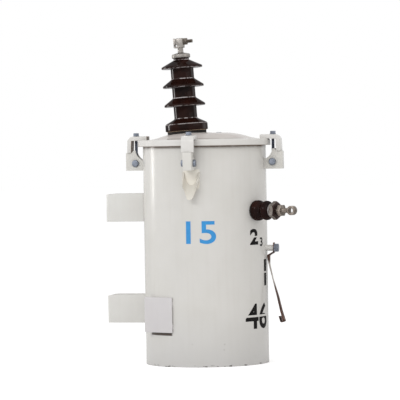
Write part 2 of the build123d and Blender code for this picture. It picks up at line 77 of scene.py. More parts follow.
lens = bpy.data.cameras.new("photo_lens")
lens.lens = 243.7
lens.sensor_width = 36
camera = bpy.data.objects.new("photo_camera", lens)
bpy.context.scene.collection.objects.link(camera)
look = (aim - stand).to_track_quat("-Z", "Y").to_matrix().to_4x4()
camera.matrix_world = Matrix.Translation(stand) @ look @ Matrix.Rotation(camera_roll, 4, "Z")
bpy.context.scene.camera = camera
bpy.context.scene.view_settings.view_transform = "Standard"
print("camera stands at", [round(c, 3) for c in stand])

# %% [markdown]
# ## Nodes in a few words
# Every material and the floor are small graphs of shader nodes. One helper adds a node, sets its
# options, and fills each input with a value or a link, so a graph reads from top to bottom. The others
# use it for what comes up again and again: colours, ranges, mixes and arithmetic.


# %% Helpers for node graphs
def put(tree, kind, inputs=(), **options):
    """Add a node, set its options, then fill its inputs with values or links."""
    node = tree.nodes.new(kind)
    for option, value in options.items():
        setattr(node, option, value)
    for name, value in dict(inputs).items():
        if isinstance(value, bpy.types.NodeSocket):
            tree.links.new(value, node.inputs[name])
        else:
            node.inputs[name].default_value = value
    return node


def tone(code):
    """A written colour such as D4D2CE as the linear values that nodes use."""
    parts = [int(code[i : i + 2], 16) / 255 for i in (0, 2, 4)]
    linear = [p / 12.92 if p <= 0.04045 else ((p + 0.055) / 1.055) ** 2.4 for p in parts]
    return (*linear, 1)


def stretch(tree, value, low, high, to_low=0.0, to_high=1.0):
    """Spread the part of a value between low and high over a new range, and stop at its ends."""
    inputs = {"Value": value, "From Min": low, "From Max": high, "To Min": to_low, "To Max": to_high}
    return put(tree, "ShaderNodeMapRange", inputs, clamp=True).outputs["Result"]


def blend(tree, factor, first, second):
    """Mix two colours by a factor."""
    mix = put(tree, "ShaderNodeMix", {0: factor, 6: first, 7: second}, data_type="RGBA")
    return mix.outputs[2]


def sums(tree, operation, first, second=0.0):
    """One step of arithmetic on one or two values."""
    return put(tree, "ShaderNodeMath", {0: first, 1: second}, operation=operation).outputs[0]


def times(tree, first, second):
    """The product of two values. Of two masks, it is the place that both share."""
    return sums(tree, "MULTIPLY", first, second)


print("white is", tone("FFFFFF"))

# %% [markdown]
# ## Studio
# The picture is a product shot on white. The world lights the object evenly, and looks white to the
# camera and in reflections. Light Path tells the two apart.

# %% World
ambient_strength = 0.71
world = bpy.data.worlds.new("studio")
bpy.context.scene.world = world
world.use_nodes = True
tree = world.node_tree
tree.nodes.clear()
path = put(tree, "ShaderNodeLightPath")
seen = sums(tree, "MAXIMUM", path.outputs["Is Camera Ray"], path.outputs["Is Glossy Ray"])
seen = sums(tree, "MAXIMUM", seen, path.outputs["Is Transmission Ray"])
lighting = put(tree, "ShaderNodeBackground", {"Color": (1, 1, 1, 1), "Strength": ambient_strength})
backdrop = put(tree, "ShaderNodeBackground", {"Color": (1, 1, 1, 1), "Strength": 1.0})
mixed = put(tree, "ShaderNodeMixShader", {0: seen, 1: lighting.outputs[0], 2: backdrop.outputs[0]})
put(tree, "ShaderNodeOutputWorld", {"Surface": mixed.outputs[0]})
print("world strength", ambient_strength)

# %% [markdown]
# ## Floor
# The floor is one large square. Its pale surface keeps the soft shadow under the tank, and a glow that
# the camera alone sees lifts the rest of it to the white of the background.


# %% Floor
def blank(name):
    """A new material with an empty graph."""
    material = bpy.data.materials.new(name)
    material.use_nodes = True
    material.node_tree.nodes.clear()
    return material


floor_tone, floor_glow, floor_half = 0.86, 0.4, 30
floor_material = blank("pale_floor")
tree = floor_material.node_tree
path = put(tree, "ShaderNodeLightPath")
camera_share = times(tree, path.outputs["Is Camera Ray"], floor_glow)
surface = put(tree, "ShaderNodeBsdfDiffuse", {"Color": (floor_tone, floor_tone, floor_tone, 1)})
glow = put(tree, "ShaderNodeEmission", {"Color": (1, 1, 1, 1), "Strength": camera_share})
both = put(tree, "ShaderNodeAddShader", {0: surface.outputs[0], 1: glow.outputs[0]})
put(tree, "ShaderNodeOutputMaterial", {"Surface": both.outputs[0]})

bm = bmesh.new()
bmesh.ops.create_grid(bm, x_segments=1, y_segments=1, size=floor_half)
floor_mesh = bpy.data.meshes.new("floor")
bm.to_mesh(floor_mesh)
bm.free()
floor_mesh.materials.append(floor_material)
floor = bpy.data.objects.new("floor", floor_mesh)
bpy.context.scene.collection.objects.link(floor)
print("floor is", floor.dimensions[0], "m across")

# %% [markdown]
# ## Lamps
# A wide strip in front and above lights the tank, a tall one draws its edge on the hanger side, and a
# large warm box fills the low voltage side. A small box high up behind adds glints. Area lamps suit
# this best, because their light falls off softly, as in a studio.


# %% Lamps
def softbox(name, angle, distance, height, size, power, target=0.4, colour=(1, 1, 1)):
    """A rectangular lamp aimed at a height on the tank's axis; the angle round it starts at +X."""
    lamp = bpy.data.lights.new(name, "AREA")
    lamp.shape = "RECTANGLE"
    lamp.size, lamp.size_y = size
    lamp.energy = power
    lamp.color = colour
    obj = bpy.data.objects.new(name, lamp)
    bpy.context.scene.collection.objects.link(obj)
    turn = math.radians(angle)
    spot = Vector((math.cos(turn) * distance, math.sin(turn) * distance, height))
    facing = (Vector((0, 0, target)) - spot).to_track_quat("-Z", "Y")
    obj.matrix_world = Matrix.Translation(spot) @ facing.to_matrix().to_4x4()
    print(name, "at", [round(c, 2) for c in spot])


softbox("key_strip", -107, 3.4, 2.2, (3.0, 0.3), 43.5)
softbox("edge_strip", 171, 2.6, 1.22, (0.36, 1.6), 13, target=1.22, colour=(1, 0.98, 0.95))
softbox("fill_box", -22, 3.6, 2.2, (3.0, 2.4), 21, target=0.7, colour=(1, 0.95, 0.9))
softbox("glint_box", 124, 1.5, 3.35, (0.3, 0.3), 5, target=0.75)

# %% [markdown]
# ## Paint, as a node group
# The tank is sprayed with grey enamel. Close up, sprayed paint has soft patches, a fine orange peel
# and thin rain streaks of dust. Tank, cover and small brackets share it, so it is one node group
# with its colours as inputs. It reads Object coordinates, which stay with the piece.


# %% Group for sprayed paint
COLOUR, NUMBER = "NodeSocketColor", "NodeSocketFloat"


def skin_group(name, **inputs):
    """An empty node group that puts out a colour, a roughness and a height, and its two ends."""
    group = bpy.data.node_groups.new(name, "ShaderNodeTree")
    for label, kind in inputs.items():
        group.interface.new_socket(label, in_out="INPUT", socket_type=kind)
    for label, kind in {"Color": COLOUR, "Roughness": NUMBER, "Height": NUMBER}.items():
        group.interface.new_socket(label, in_out="OUTPUT", socket_type=kind)
    return group, put(group, "NodeGroupInput").outputs, put(group, "NodeGroupOutput").inputs


def on_piece(tree):
    """Object coordinates."""
    return put(tree, "ShaderNodeTexCoord").outputs["Object"]


def scaled(tree, where, scale):
    """Coordinates stretched along the axes, so that what is drawn with them grows long or flat."""
    return put(tree, "ShaderNodeMapping", {"Vector": where, "Scale": scale}).outputs[0]


def noise(tree, where, scale, detail, roughness=0.5):
    """Random patches with values from 0 to 1. A larger scale makes them smaller."""
    inputs = {"Vector": where, "Scale": scale, "Detail": detail, "Roughness": roughness}
    return put(tree, "ShaderNodeTexNoise", inputs).outputs["Fac"]


tree, given, result = skin_group("sprayed_paint", Paint=COLOUR, Shade=COLOUR, Soil=COLOUR, Amount=NUMBER)
sprayed_paint = tree
where = on_piece(tree)
patches = noise(tree, where, 11.0, 4.0)
streaks = noise(tree, scaled(tree, where, (85, 85, 4)), 1.0, 5.0)
specks = noise(tree, where, 310.0, 2.0)
soil_mask = times(tree, stretch(tree, streaks, 0.5, 0.8), given["Amount"])
speck_mask = times(tree, stretch(tree, specks, 0.7, 0.76), given["Amount"])
coat = blend(tree, stretch(tree, patches, 0.38, 0.72), given["Paint"], given["Shade"])
coat = blend(tree, soil_mask, coat, given["Soil"])
coat = blend(tree, speck_mask, coat, given["Soil"])
peel = noise(tree, where, 520.0, 1.0)
sheet_wave = noise(tree, where, 7.0, 1.0)
tree.links.new(coat, result["Color"])
tree.links.new(stretch(tree, patches, 0.3, 0.7, 0.15, 0.24), result["Roughness"])
tree.links.new(sums(tree, "ADD", times(tree, peel, 0.12), sheet_wave), result["Height"])
print("group", tree.name, "has", len(tree.nodes), "nodes")

# %% [markdown]
# ## Bare metal, as a node group
# Zinc, tin, cap metal, washers and the copper strap differ in colour, but all are dull in some spots and
# brighter in others, with a fine grain. A second group holds that, with a bright and a dull colour.

# %% Group for weathered metal
tree, given, result = skin_group("weathered_metal", Bright=COLOUR, Dull=COLOUR, Grain=NUMBER, Wear=NUMBER)
weathered_metal = tree
where = on_piece(tree)
bloom = noise(tree, where, given["Grain"], 5.0, roughness=0.65)
fine = noise(tree, where, 900.0, 2.0)
dull_mask = stretch(tree, sums(tree, "ADD", bloom, given["Wear"]), 0.35, 0.75)
tree.links.new(blend(tree, dull_mask, given["Bright"], given["Dull"]), result["Color"])
tree.links.new(stretch(tree, dull_mask, 0.0, 1.0, 0.3, 0.62), result["Roughness"])
tree.links.new(sums(tree, "ADD", times(tree, bloom, 0.6), fine), result["Height"])
print("group", tree.name, "has", len(tree.nodes), "nodes")

# %% [markdown]
# ## Dull finishes, as a node group
# Rubber, cork and marking paint have little shine and drift between two close colours. In the third
# group one noise drives the colour, the roughness and the bump.

# %% Group for dull finishes
tree, given, result = skin_group("dull_drift", Main=COLOUR, Other=COLOUR, Scale=NUMBER, Dullness=NUMBER)
dull_drift = tree
drift = noise(tree, on_piece(tree), given["Scale"], 4.0)
rough = sums(tree, "ADD", given["Dullness"], stretch(tree, drift, 0.3, 0.7, -0.1, 0.1))
tree.links.new(blend(tree, stretch(tree, drift, 0.35, 0.7), given["Main"], given["Other"]), result["Color"])
tree.links.new(rough, result["Roughness"])
tree.links.new(drift, result["Height"])
print("group", tree.name, "has", len(tree.nodes), "nodes")

# %% [markdown]
# ## Finishes
# Each finish is a Principled BSDF with one of the groups in front of it. Numbers that are the same all
# over, such as metallic, are set on the shader itself.


# %% Helpers for finishes
def finish(name, group, values, bump, grain, **shader):
    """A material whose colour, roughness and bump come from a node group."""
    material = blank(name)
    graph = material.node_tree
    skin = put(graph, "ShaderNodeGroup", node_tree=group)
    for label, value in values.items():
        skin.inputs[label].default_value = value
    relief_inputs = {"Height": skin.outputs["Height"], "Strength": bump, "Distance": grain * MM}
    relief = put(graph, "ShaderNodeBump", relief_inputs)
    bsdf = put(graph, "ShaderNodeBsdfPrincipled", {label.replace("_", " "): v for label, v in shader.items()})
    graph.links.new(skin.outputs["Color"], bsdf.inputs["Base Color"])
    graph.links.new(skin.outputs["Roughness"], bsdf.inputs["Roughness"])
    graph.links.new(relief.outputs[0], bsdf.inputs["Normal"])
    put(graph, "ShaderNodeOutputMaterial", {"Surface": bsdf.outputs[0]})
    return material


def painted(name, paint, shade, amount, shine, soil="B9B2A6"):
    """A sprayed paint finish, with an amount of soil on it."""
    values = {"Paint": tone(paint), "Shade": tone(shade), "Soil": tone(soil), "Amount": amount}
    return finish(name, sprayed_paint, values, bump=0.35, grain=0.5, Specular_IOR_Level=shine)


def metal(name, bright, dull, grain, wear=0.05, metallic=1.0):
    """A weathered metal finish."""
    values = {"Bright": tone(bright), "Dull": tone(dull), "Grain": grain, "Wear": wear}
    return finish(name, weathered_metal, values, bump=0.25, grain=0.12, Metallic=metallic)


def matte(name, main, other, scale, dullness, shine=0.5):
    """A dull finish that drifts between two colours."""
    values = {"Main": tone(main), "Other": tone(other), "Scale": scale, "Dullness": dullness}
    return finish(name, dull_drift, values, bump=0.3, grain=0.2, Specular_IOR_Level=shine)


# %% Paints, metals, rubber and cork
cover_paint = painted("cover_enamel", "D9D7D4", "D4D2CE", 0.1, 0.2)
# This finish gets dust and painted shade on the dome, and dirt with a painted shadow on the rim's edge.
cover_top = painted("dusty_shaded_cover_enamel", "D9D7D4", "D4D2CE", 0.1, 0.03)
hanger_paint = painted("hanger_enamel", "D9D8D4", "D5D3CF", 0.06, 0.35)
bracket_paint = painted("bracket_enamel", "D5D3CE", "D0CEC8", 0.08, 0.3)
plate_paint = painted("plate_enamel", "CFCCCD", "CBC8C9", 0.05, 0.3)
# The lugs' cream paint is lighter than the tank's: partly their own tone, partly painted light for a lug that
# leans down into shade.
lightened_lug_paint = painted("lightened_lug_enamel", "DCD8CE", "D6D1C7", 0.1, 0.3)
stained_shaded_paint = painted("stained_shaded_enamel", "B49A84", "957860", 0.5, 0.2, soil="6E5540")
zinc_steel = metal("zinc_plating", "9AA0AC", "6A707B", 160)
tinned_terminal = metal("dull_tin", "A6A29E", "918C86", 170)
brown_tin = metal("browned_tin", "B8AEA5", "6A5E54", 150)
cap_metal = metal("cast_cap", "9F9B97", "827E79", 90)
# This finish also serves as painted shade on the eyes' outward faces.
bronzed_bolt_and_eye_shade = metal("bronzed_bolt_and_eye_shade", "8F8780", "575049", 150)
grey_washer = metal("grey_washer", "A9A7A5", "827F7C", 140)
nut_side = metal("worn_nut", "A39C96", "6B625C", 130)
# A dark copy of the nut metal, used as painted shade on the nuts' outward faces.
dark_nut = metal("nut_face_painted_shade", "4A3530", "251816", 130, wear=0.1, metallic=0.6)
strap_copper = metal("tarnished_copper", "6C4737", "352118", 70, wear=0.12)
gasket_rubber = matte("gasket_rubber", "1C1A18", "2C2926", 220, 0.7, shine=0.2)
cork = matte("cork_line", "CDB79F", "B59C82", 400, 0.8)
blue_mark = matte("blue_marking", "2E8FD0", "2A86C6", 60, 0.45)
black_mark = matte("black_marking", "0F0E0E", "1E1C1B", 60, 0.6, shine=0.08)
print("made", len(bpy.data.materials), "materials")

# %% [markdown]
# ## Tank paint with painted shade, grime and a chipped foot
# Just under the cover's rim a brown line is painted on the tank, darkest at the top: a painted shadow of the
# rim, with some grime in it. Towards the foot the paint turns a darker grey, a painted shade. Where the tank
# has stood on concrete its lower edge has lost tiny chips of paint. All are masks by height, in metres, mixed
# into the same sprayed paint.


# %% Tank enamel
def opened(material):
    """A finish's graph, its shader, the colour that feeds the shader, and Object coordinates."""
    graph = material.node_tree
    bsdf = next(n for n in graph.nodes if n.type == "BSDF_PRINCIPLED")
    return graph, bsdf, bsdf.inputs["Base Color"].links[0].from_socket, on_piece(graph)


def apart(tree, vector):
    """The X, Y and Z of a vector, by name."""
    return put(tree, "ShaderNodeSeparateXYZ", {"Vector": vector}).outputs


tank_paint = painted("tank_enamel", "D3D1CD", "CFCDC8", 0.08, 0.4, soil="B3ABA0")
chip_low, chip_high, foot_shade_high = 0.002, 0.0065, 0.17
rim_shadow_low, rim_shadow_high = 0.6025, 0.6105
graph, bsdf, soil_and_painted_light, where = opened(tank_paint)
axes = apart(graph, where)
level = axes["Z"]
chips = noise(graph, scaled(graph, where, (1, 1, 2)), 75.0, 3.0)
near_foot = stretch(graph, level, chip_low, chip_high, 1.0, 0.0)
# Painted shadow: the brown line under the rim stands for the rim's shadow, with some grime in it.
below_rim = stretch(graph, level, rim_shadow_low, rim_shadow_high)
rim_shadow_and_grime = times(graph, times(graph, below_rim, below_rim), stretch(graph, chips, 0.2, 0.5, 0.7, 1.0))
soil_and_painted_light = blend(graph, rim_shadow_and_grime, soil_and_painted_light, tone("5E4836"))
# Painted shade: the paint turns a darker grey towards the foot.
soil_and_painted_light = blend(graph, stretch(graph, level, 0.0, foot_shade_high, 0.55, 0.0), soil_and_painted_light, tone("BDBCBC"))
soil_and_painted_light = blend(graph, times(graph, stretch(graph, chips, 0.57, 0.61), near_foot), soil_and_painted_light, tone("4A4440"))
# In this print, the line under the rim is a painted shadow with grime, and the darker foot is painted shade.
print("grime, dust and chips are mixed into", tank_paint.name)

# %% [markdown]
# More marks sit at known places round the tank: a dark line of painted shadow on the tank below the rating
# plate bracket, a cream patch of painted light behind each lifting lug where shade would fall, and three small
# scuffs low down. The angle round the tank comes from X and Y.


# %% Marks at known places on the tank
def band(tree, value, rise, fall, most=1.0):
    """A mask that rises over one range of a value and falls over a later one."""
    return times(tree, stretch(tree, value, *rise), stretch(tree, value, *fall, most, 0.0))


tank_radius = 173.5
plate_shadow_turns = [math.radians(a) for a in (-142.5, -140, -112.5, -111)]
around = sums(graph, "ARCTAN2", axes["Y"], axes["X"])
# Painted shadow: a dark line on the tank just below the rating plate bracket.
plate_shadow_level = band(graph, level, (0.0858, 0.0876), (0.094, 0.096))
plate_shadow_turn = band(graph, around, plate_shadow_turns[:2], plate_shadow_turns[2:])
soil_and_painted_light = blend(graph, times(graph, plate_shadow_level, plate_shadow_turn), soil_and_painted_light, tone("463C35"))
# Painted light: a cream patch lightens the shade on the tank behind each lifting lug.
painted_light_behind_lug = stretch(graph, sums(graph, "ABSOLUTE", axes["X"]), 0.02, 0.025, 1.0, 0.0)
lug_light_level = band(graph, level, (0.49, 0.5), (0.545, 0.55))
soil_and_painted_light = blend(graph, times(graph, painted_light_behind_lug, lug_light_level), soil_and_painted_light, tone("EBE6DB"))
scuffs = [(-61.7, 62.5, 0.32), (-62.2, 47.5, 0.28), (-91.5, 64.0, 0.18)]
for angle, height, strength in scuffs:
    turn = math.radians(angle)
    spot = Vector((tank_radius * math.cos(turn), tank_radius * math.sin(turn), height)) * MM
    off = put(graph, "ShaderNodeVectorMath", {0: where, 1: spot}, operation="DISTANCE").outputs["Value"]
    soil_and_painted_light = blend(graph, stretch(graph, off, 0.001, 0.0035, strength, 0.0), soil_and_painted_light, tone("96938C"))
graph.links.new(soil_and_painted_light, bsdf.inputs["Base Color"])
print(tank_paint.name, "has", len(graph.nodes), "nodes")

# %% [markdown]
# ## Porcelain glaze
# The insulators are dark brown porcelain. The glaze pools in the roots and thins on the tips, so the
# colour drifts between nearly black and chocolate, on a very smooth surface.

# %% Brown glaze
porcelain = blank("brown_glaze")
graph = porcelain.node_tree
coords = put(graph, "ShaderNodeTexCoord").outputs
pool = noise(graph, coords["Object"], 24.0, 4.0)
dust = noise(graph, coords["Object"], 140.0, 3.0)
glaze = blend(graph, stretch(graph, pool, 0.35, 0.7), tone("160C0A"), tone("2A1510"))
glaze = blend(graph, stretch(graph, dust, 0.62, 0.8, 0.0, 0.2), glaze, tone("4A302A"))
gloss = stretch(graph, pool, 0.3, 0.7, 0.05, 0.13)
relief = put(graph, "ShaderNodeBump", {"Height": pool, "Strength": 0.15, "Distance": 1.2 * MM})
glaze_inputs = {"Base Color": glaze, "Roughness": gloss, "Normal": relief.outputs[0]}
bsdf = put(graph, "ShaderNodeBsdfPrincipled", glaze_inputs)
bsdf.inputs["Specular IOR Level"].default_value = 0.01
put(graph, "ShaderNodeOutputMaterial", {"Surface": bsdf.outputs[0]})
print(porcelain.name, "has", len(graph.nodes), "nodes")

# %% [markdown]
# Most of the gloss is a clear coat. Layer Weight makes it weaker towards the outline, where a white room
# would turn the dark glaze grey, and stronger on upright faces that are turned a little away.

# %% Coat on the glaze
facing = put(graph, "ShaderNodeLayerWeight", {"Blend": 0.5}).outputs["Facing"]
slope = sums(graph, "ABSOLUTE", apart(graph, coords["Normal"])["Z"])
upright = stretch(graph, slope, 0.12, 0.3, 0.45, 0.0)
gleam = times(graph, upright, band(graph, facing, (0.3, 0.4), (0.5, 0.6)))
coat = sums(graph, "ADD", stretch(graph, facing, 0.5, 0.72, 0.15, 0.0), gleam)
graph.links.new(coat, bsdf.inputs["Coat Weight"])
print(porcelain.name, "with its coat has", len(graph.nodes), "nodes")

# %% [markdown]
# ## Turned pieces
# Tank, porcelain, caps, gaskets and bolts are all round. Each starts as an outline of a few corners. A
# vertex bevel rounds the corners, and a full spin turns the outline into a closed solid. The normals are
# recalculated after the doubles at the poles, which are nearer than TOUCH, are merged.


# %% Helpers for pieces
TOUCH = 0.001


def turned(outline, steps=96, place=Matrix.Identity(4), ring=False, fine=0, segments=5):
    """Spin an outline of (radius, height, corner cut) in millimetres about Z, then set it in place."""
    bm = bmesh.new()
    corners = [bm.verts.new((radius * MM, 0, height * MM)) for radius, height, _ in outline]
    following = corners[1:] + corners[:1] if ring else corners[1:]
    for first, second in zip(corners, following):
        bm.edges.new((first, second))
    for cut in sorted({corner for _, _, corner in outline if corner}):
        these = [v for v, (_, _, corner) in zip(corners, outline) if corner == cut]
        bmesh.ops.bevel(
            bm, geom=these, offset=cut * MM, offset_type="OFFSET", affect="VERTICES",
            segments=segments, profile=0.5, material=-1, clamp_overlap=True,
        )
    if fine:
        for edge in bm.edges[:]:
            cuts = int(edge.calc_length() / (fine * MM))
            if cuts:
                bmesh.ops.subdivide_edges(bm, edges=[edge], cuts=cuts)
    bmesh.ops.spin(
        bm, geom=bm.verts[:] + bm.edges[:], cent=(0, 0, 0), axis=(0, 0, 1),
        angle=math.tau, steps=steps, use_merge=True,
    )
    bmesh.ops.remove_doubles(bm, verts=bm.verts, dist=TOUCH * MM)
    bmesh.ops.recalc_face_normals(bm, faces=bm.faces)
    bmesh.ops.transform(bm, matrix=place, verts=bm.verts)
    return bm


def joined(*meshes):
    """Several bmeshes in one."""
    whole = bmesh.new()
    for part in meshes:
        carrier = bpy.data.meshes.new("carrier")
        part.to_mesh(carrier)
        part.free()
        whole.from_mesh(carrier)
        bpy.data.meshes.remove(carrier)
    return whole


def finished(bm, name, material, slot, *nodes, crease=38):
    """Make a bmesh an object that rides on the body and stands for the CAD nodes named."""
    mesh = bpy.data.meshes.new(name)
    bm.to_mesh(mesh)
    bm.free()
    mesh.shade_smooth()
    mesh.set_sharp_from_angle(angle=math.radians(crease))
    mesh.materials.append(material)
    obj = bpy.data.objects.new(name, mesh)
    bpy.context.scene.collection.objects.link(obj)
    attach(obj, "root")
    if nodes:
        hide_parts(*nodes)
    print(name, len(mesh.polygons), "faces")
    return obj


# %% [markdown]
# ## Tank
# The tank is a sheet rolled to a tube and closed by a bottom plate that sits a little way up inside the
# foot. Shell, lip and bottom are spun from short outlines, with the foot rounded where it would be
# ground, and a weld bead runs round inside under the bottom plate.

# %% Tank shell and lip
tank_wall, tank_height, tank_steps = 3.5, 619.0, 192
inner_radius = tank_radius - tank_wall
shell_outline = [
    (inner_radius, 0, 0.8),
    (tank_radius, 0, 1.6),
    (tank_radius, tank_height, 0),
    (inner_radius, tank_height, 0),
]
tank_shell = turned(shell_outline, steps=tank_steps, ring=True, fine=90)
finished(tank_shell, "tank_shell_painted", tank_paint, "tank_paint", "tank_shell")

lip_radius, lip_foot, weld_depth = 181.0, 615.5, 0.5
lip_outline = [
    (tank_radius - weld_depth, lip_foot, 0),
    (lip_radius, lip_foot, 1.2),
    (lip_radius, tank_height, 0.6),
    (tank_radius - weld_depth, tank_height, 0),
]
tank_lip = turned(lip_outline, steps=tank_steps, ring=True)
finished(tank_lip, "tank_lip_painted", tank_paint, "tank_paint", "tank_lip")

# %% Tank bottom
bottom_low, bottom_high, bead_leg = 12.0, 16.0, 4.0
bottom_outline = [
    (0, bottom_low, 0),
    (inner_radius, bottom_low, 0),
    (inner_radius, bottom_high, 0),
    (0, bottom_high, 0),
]
bead_outline = [
    (inner_radius + weld_depth, bottom_low + 1, 0),
    (inner_radius - bead_leg, bottom_low + 1, 0),
    (inner_radius - 2.2, bottom_low - 2.2, 1.4),
    (inner_radius + weld_depth, bottom_low - bead_leg, 0),
]
bottom_weld = turned(bead_outline, steps=tank_steps, ring=True)
bottom = joined(turned(bottom_outline, steps=tank_steps), bottom_weld)
finished(bottom, "tank_bottom_painted", tank_paint, "tank_paint", "tank_bottom")

# %% [markdown]
# ## Cover
# The cover is pressed from one sheet: a turned down rim, a flat brim, a low crown, and a boss pushed up
# at a slight tilt for the high voltage bushing. Spinning gives everything but the boss. For the boss,
# each point of the sheet rises to whichever is higher, the dome or a tilted cone round the bushing, with
# a soft join where the two are close, as a press would draw it. The sheet gets its thickness last.

# %% Cover
brim_top, crown_top = 630.3, 648.8
rim_radius, rim_foot = 187.0, 612.0
brim_radius, crown_radius = 146.0, 88.0
hv_offset, hv_lean = 49.0, math.radians(3.7)
boss_radius, boss_sink = 58.0, 2.8
boss_slope, boss_blend, boss_edge = 13 / 48, 5.0, 4.0
cover_sheet, brim_end = 3.0, 178.0
seat_height = crown_top - boss_sink

cover_outline = [
    (0, crown_top, 0),
    (crown_radius, crown_top, 30),
    (brim_radius, brim_top, 18),
    (rim_radius, brim_top, 6),
    (rim_radius, rim_foot, 0),
]
cover = turned(cover_outline, steps=200, fine=3.5, segments=8)
for v in cover.verts:
    if math.hypot(v.co.x, v.co.y) > brim_end * MM:
        continue
    along = v.co.x / MM + hv_offset
    from_boss = math.hypot(along, v.co.y / MM)
    boss_plane = seat_height + along * math.tan(hv_lean)
    boss = boss_plane - max(from_boss - boss_radius, 0) * boss_slope
    dome = v.co.z / MM
    near = max(boss_blend - abs(boss - dome), 0) / boss_blend
    joined_height = max(boss, dome) + near * near * boss_blend / 4
    clear = min(max((from_boss - boss_radius) / boss_edge, 0), 1)
    v.co.z = (boss_plane + clear * (joined_height - boss_plane)) * MM
bmesh.ops.recalc_face_normals(cover, faces=cover.faces)
if sum(f.normal.z * f.calc_area() for f in cover.faces) < 0:
    bmesh.ops.reverse_faces(cover, faces=cover.faces)
bmesh.ops.solidify(cover, geom=cover.faces[:], thickness=cover_sheet * MM)
finished(cover, "cover_pressing", cover_top, "cover_paint", "tank_cover", crease=50)

# %% [markdown]
# The dome above the brim is darker with dust and painted shade, a painted shade darkens a line at the dome's
# foot, and the lower edge of the rim carries dirt and a painted shadow. All are masks by height, given from
# the brim and from the rim's foot in millimetres, and noise breaks them up.

# %% Dust and painted shade on the cover
graph, bsdf, dust_and_shade_colour, where = opened(cover_top)
level = apart(graph, where)["Z"]
over_brim = sums(graph, "SUBTRACT", times(graph, level, 1 / MM), brim_top)
over_foot = sums(graph, "SUBTRACT", times(graph, level, 1 / MM), rim_foot)
drift = noise(graph, where, 26.0, 5.0)
dust_and_shade_breakup = stretch(graph, drift, 0.3, 0.7, 0.65, 1.0)
# Dust and painted shade darken the dome above the brim.
dust_and_shade_mask = times(graph, stretch(graph, over_brim, 0.3, 1.2, 0.0, 0.95), dust_and_shade_breakup)
dust_and_shade_colour = blend(graph, dust_and_shade_mask, dust_and_shade_colour, tone("C4BCB7"))
# Painted shade: a darker line at the dome's foot, where it meets the brim.
dome_foot_shade_mask = band(graph, over_brim, (0.3, 0.9), (1.5, 4.2), 0.85)
dome_foot_shade_mask = times(graph, dome_foot_shade_mask, stretch(graph, drift, 0.35, 0.62, 0.2, 1.0))
dust_and_shade_colour = blend(graph, dome_foot_shade_mask, dust_and_shade_colour, tone("938A83"))
# Dirt and a painted shadow along the lower edge of the rim.
dust_and_shade_colour = blend(graph, stretch(graph, over_foot, 0.2, 2.4, 0.75, 0.0), dust_and_shade_colour, tone("73675A"))
graph.links.new(dust_and_shade_colour, bsdf.inputs["Base Color"])
print(cover_top.name, "has", len(graph.nodes), "nodes")

# %% [markdown]
# ## Gaskets
# Rubber bulges a little where it is squeezed, so each gasket's outline has a rounded edge. A thin line of
# cork shows on top of the high voltage gasket.

# %% Gaskets of the cover and the high voltage bushing
hv_place = Matrix.Translation((-hv_offset * MM, 0, seat_height * MM)) @ Matrix.Rotation(-hv_lean, 4, "Y")
hv_seat, cork_sheet = 10.0, 1.4
hv_hole, hv_gasket_radius, cork_radius = 28.5, 54.9, 56.5
cork_foot = hv_seat - cork_sheet
squeezed_radius = lip_radius + 0.6
cover_underside = brim_top - cover_sheet

cover_gasket = [
    (inner_radius, tank_height, 0),
    (squeezed_radius, tank_height, 2.6),
    (squeezed_radius, cover_underside, 2.6),
    (inner_radius, cover_underside, 0),
]
gasket = turned(cover_gasket, steps=tank_steps, ring=True)
finished(gasket, "cover_gasket_rubber", gasket_rubber, "gasket_rubber", "cover_gasket")

hv_gasket = [
    (hv_hole, 0, 0),
    (hv_gasket_radius, 0, 1.6),
    (hv_gasket_radius, cork_foot, 1.6),
    (hv_hole, cork_foot, 0),
]
gasket = turned(hv_gasket, place=hv_place, ring=True)
finished(gasket, "hv_gasket_rubber", gasket_rubber, "gasket_rubber", "hv_gasket")
cork_ring = [
    (hv_hole, cork_foot, 0),
    (cork_radius, cork_foot, 0.5),
    (cork_radius, hv_seat, 0.5),
    (hv_hole, hv_seat, 0),
]
finished(turned(cork_ring, place=hv_place, ring=True), "hv_cork_line", cork, "gasket_rubber")

# %% [markdown]
# ## High voltage bushing
# The porcelain is thrown on a lathe before it is fired: a heavy flange, a shoulder, and three sheds that
# slope down and out with rounded tips. The outline repeats one shed, so it is built in a loop, and the
# vertex bevel gives the soft corners of glazed ware.

# %% High voltage porcelain
flange_radius, body_radius, shed_radius, neck_radius = 60.0, 32.5, 58.0, 22.0
flange_height, shoulder_rise, neck_height = 20.0, 14.0, 5.3
first_shed, shed_pitch, shed_count = 70.2, 53.6, 3
shed_droop, shed_tip, shed_height = 1.5, 6.0, 22.5
flange_top = hv_seat + flange_height
shoulder_top = flange_top + shoulder_rise
shed_feet = [hv_seat + first_shed + shed * shed_pitch for shed in range(shed_count)]
hv_outline = [
    (0, hv_seat, 0),
    (flange_radius, hv_seat, 1.5),
    (flange_radius, flange_top, 4),
    (body_radius, shoulder_top, 3.5),
]
for foot in shed_feet:
    hv_outline += [
        (body_radius, foot, 3),
        (shed_radius, foot - shed_droop, 2.4),
        (shed_radius, foot - shed_droop + shed_tip, 2.6),
        (body_radius, foot + shed_height, 3.5),
    ]
neck_foot = shed_feet[-1] + shed_height
neck_top = neck_foot + neck_height
hv_outline[-1] = (neck_radius, neck_foot, 2)
hv_outline += [(neck_radius, neck_top, 0), (0, neck_top, 0)]
hv_porcelain = turned(hv_outline, place=hv_place, steps=128, segments=6)
finished(hv_porcelain, "hv_porcelain", porcelain, "porcelain", "hv_bushing", crease=60)

# %% [markdown]
# Pale lines painted into the glaze colour are painted highlights, where a glossy edge or root would catch a
# glint.
# The lines sit at known heights along the leaning axis of the bushing: the rim of each shed, the root above
# it, the flange's upper edge and the top of the shoulder. Each is a place, half a width and a strength.

